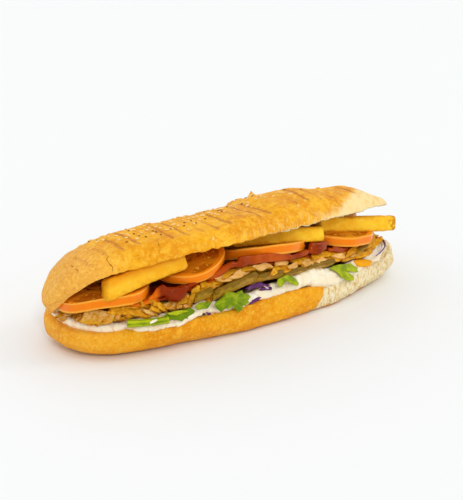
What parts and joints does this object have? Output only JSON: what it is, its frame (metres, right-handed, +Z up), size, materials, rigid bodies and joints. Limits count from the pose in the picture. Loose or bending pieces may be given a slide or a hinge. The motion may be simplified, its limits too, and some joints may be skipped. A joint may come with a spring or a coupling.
{
  "type": "filled sandwich roll",
  "caption": "Long grilled bread roll slit along one side, filled with shaved chicken, tomato slices, fries, pickles, red cabbage, herbs, ketchup and garlic sauce.",
  "frame": {"origin": "middle of the rectangle that the roll covers on the table, on the table's surface", "axes": "+X along the roll towards its open end, -Y out of the slit, +Z up"},
  "size_m": [0.2458, 0.0856, 0.0694],
  "materials": {
    "bread": "baked crust, matt, with pale torn crumb",
    "sauce": "thick garlic sauce, softly glossy",
    "cabbage": "shredded red cabbage",
    "meat": "roasted chicken, spiced edges",
    "ketchup": "ketchup, wet gloss",
    "tomato": "ripe tomato slice, wet",
    "fries": "fried potato",
    "pickle": "pickled cucumber",
    "stem": "green herb stem",
    "carrot": "carrot slice"
  },
  "bodies": {
    "root": {"bread_roll": "bread", "garlic_sauce": "sauce", "red_cabbage": "cabbage", "chicken": "meat", "ketchup": "ketchup", "tomato_1": "tomato", "tomato_2": "tomato", "tomato_3": "tomato", "tomato_4": "tomato", "tomato_5": "tomato", "fry_1": "fries", "fry_2": "fries", "fry_3": "fries", "pickle_1": "pickle", "pickle_2": "pickle", "pickle_3": "pickle", "pickle_4": "pickle", "pickle_5": "pickle", "pickle_6": "pickle", "pickle_7": "pickle", "carrot_slice": "carrot", "green_stem": "stem"}
  },
  "joints": []
}
